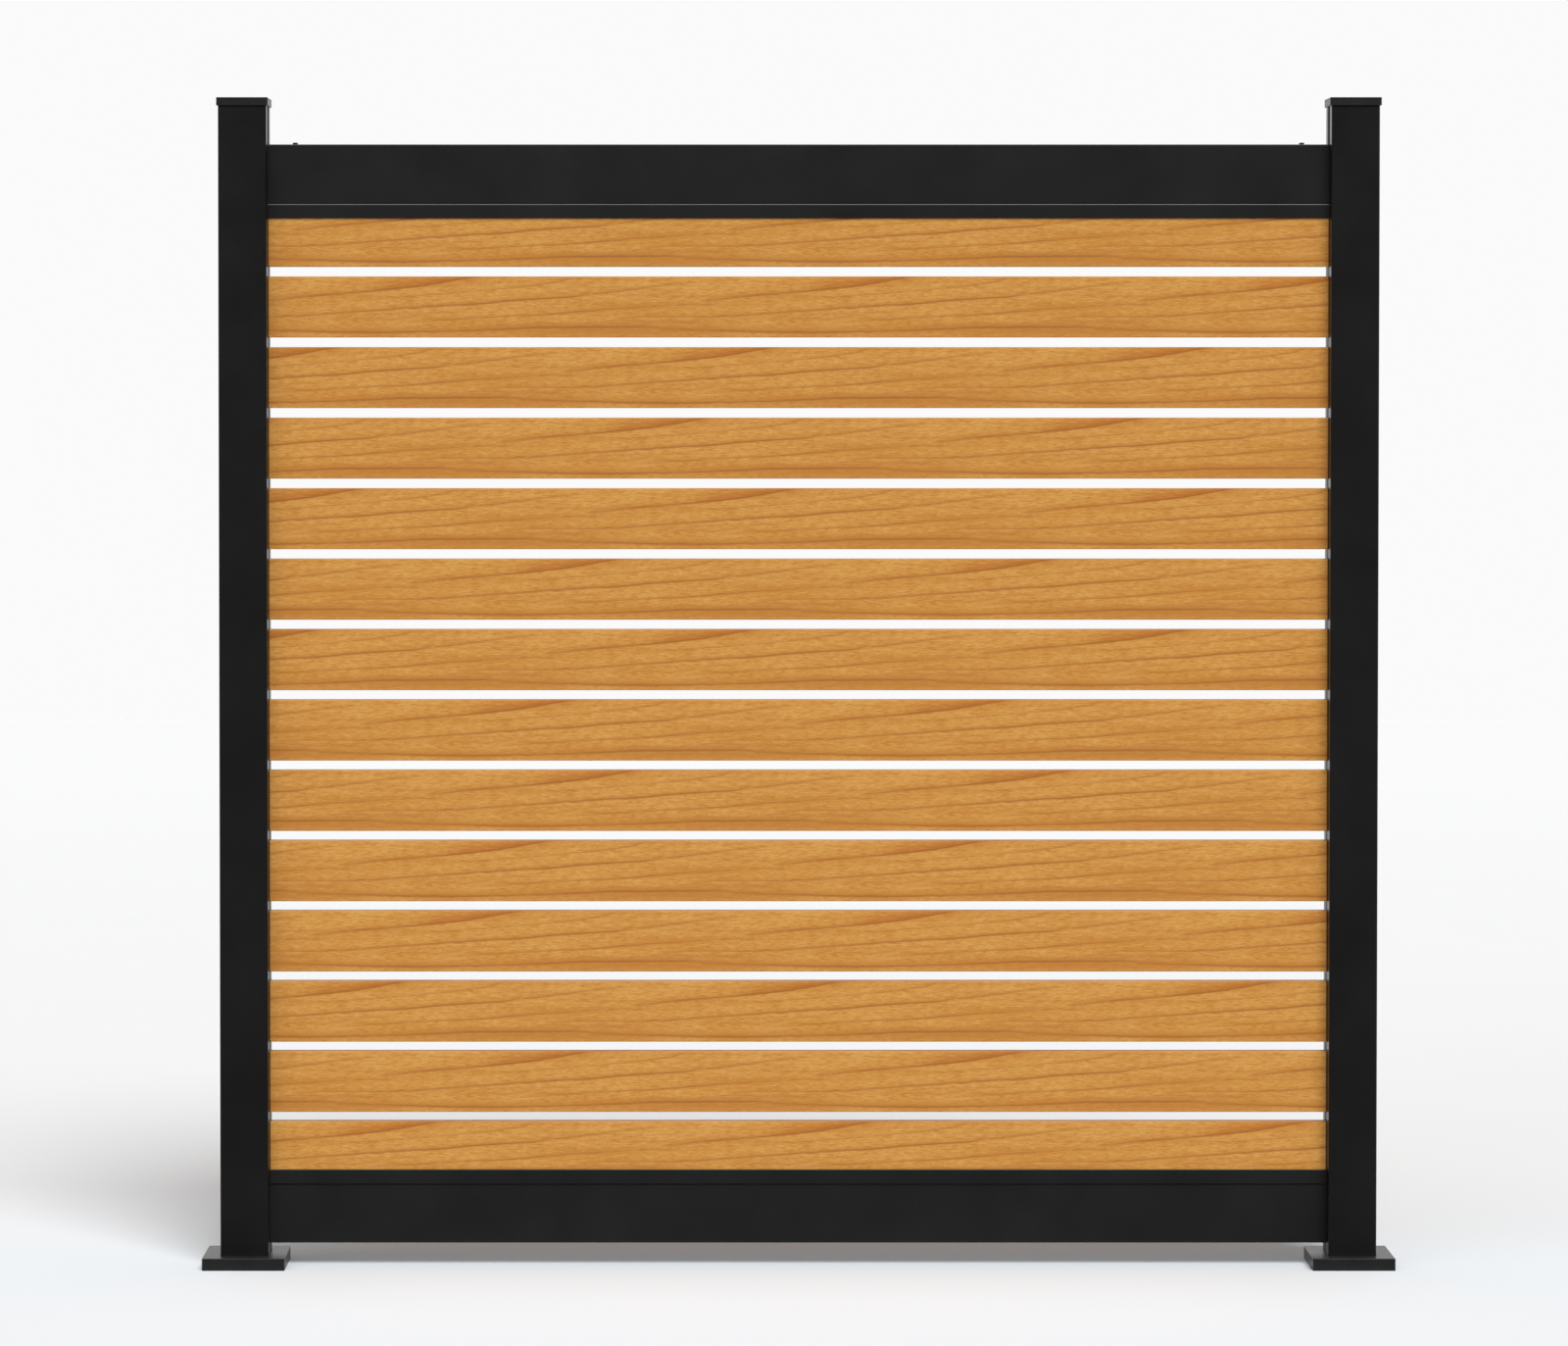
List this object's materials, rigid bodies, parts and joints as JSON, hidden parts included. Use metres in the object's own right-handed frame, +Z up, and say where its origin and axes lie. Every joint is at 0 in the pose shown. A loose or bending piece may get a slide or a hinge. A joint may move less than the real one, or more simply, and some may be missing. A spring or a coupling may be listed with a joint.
{
  "type": "garden privacy screen",
  "caption": "Freestanding garden privacy screen: two black posts on square bases hold horizontal wood-print slats with narrow gaps between black rails.",
  "frame": {"origin": "on the ground, midway between the two posts and midway through the screen", "axes": "+X along the screen, +Y towards the back, +Z up"},
  "size_m": [1.8566, 0.1286, 1.8225],
  "materials": {
    "black_coating": "satin",
    "wood_print": "satin",
    "black_plastic": "satin",
    "black_steel": "satin",
    "bare_steel": "satin"
  },
  "bodies": {
    "root": {"left_post": "black_coating", "left_post_cap": "black_plastic", "left_base_cover": "black_plastic", "left_base_plate": "black_steel", "left_rail_support": "black_plastic", "left_rail_bracket": "bare_steel", "left_spacer_01": "black_plastic", "left_spacer_02": "black_plastic", "left_spacer_03": "black_plastic", "left_spacer_04": "black_plastic", "left_spacer_05": "black_plastic", "left_spacer_06": "black_plastic", "left_spacer_07": "black_plastic", "left_spacer_08": "black_plastic", "left_spacer_09": "black_plastic", "left_spacer_10": "black_plastic", "left_spacer_11": "black_plastic", "left_spacer_12": "black_plastic", "left_spacer_13": "black_plastic", "right_post": "black_coating", "right_post_cap": "black_plastic", "right_base_cover": "black_plastic", "right_base_plate": "black_steel", "right_rail_support": "black_plastic", "right_rail_bracket": "bare_steel", "right_spacer_01": "black_plastic", "right_spacer_02": "black_plastic", "right_spacer_03": "black_plastic", "right_spacer_04": "black_plastic", "right_spacer_05": "black_plastic", "right_spacer_06": "black_plastic", "right_spacer_07": "black_plastic", "right_spacer_08": "black_plastic", "right_spacer_09": "black_plastic", "right_spacer_10": "black_plastic", "right_spacer_11": "black_plastic", "right_spacer_12": "black_plastic", "right_spacer_13": "black_plastic", "bottom_rail": "black_coating", "bottom_channel": "black_coating", "top_channel": "black_coating", "top_rail": "black_coating", "slat_01": "wood_print", "slat_02": "wood_print", "slat_03": "wood_print", "slat_04": "wood_print", "slat_05": "wood_print", "slat_06": "wood_print", "slat_07": "wood_print", "slat_08": "wood_print", "slat_09": "wood_print", "slat_10": "wood_print", "slat_11": "wood_print", "slat_12": "wood_print", "slat_13": "wood_print", "slat_14": "wood_print", "base_screws": "bare_steel", "bracket_screws": "black_steel"}
  },
  "joints": []
}
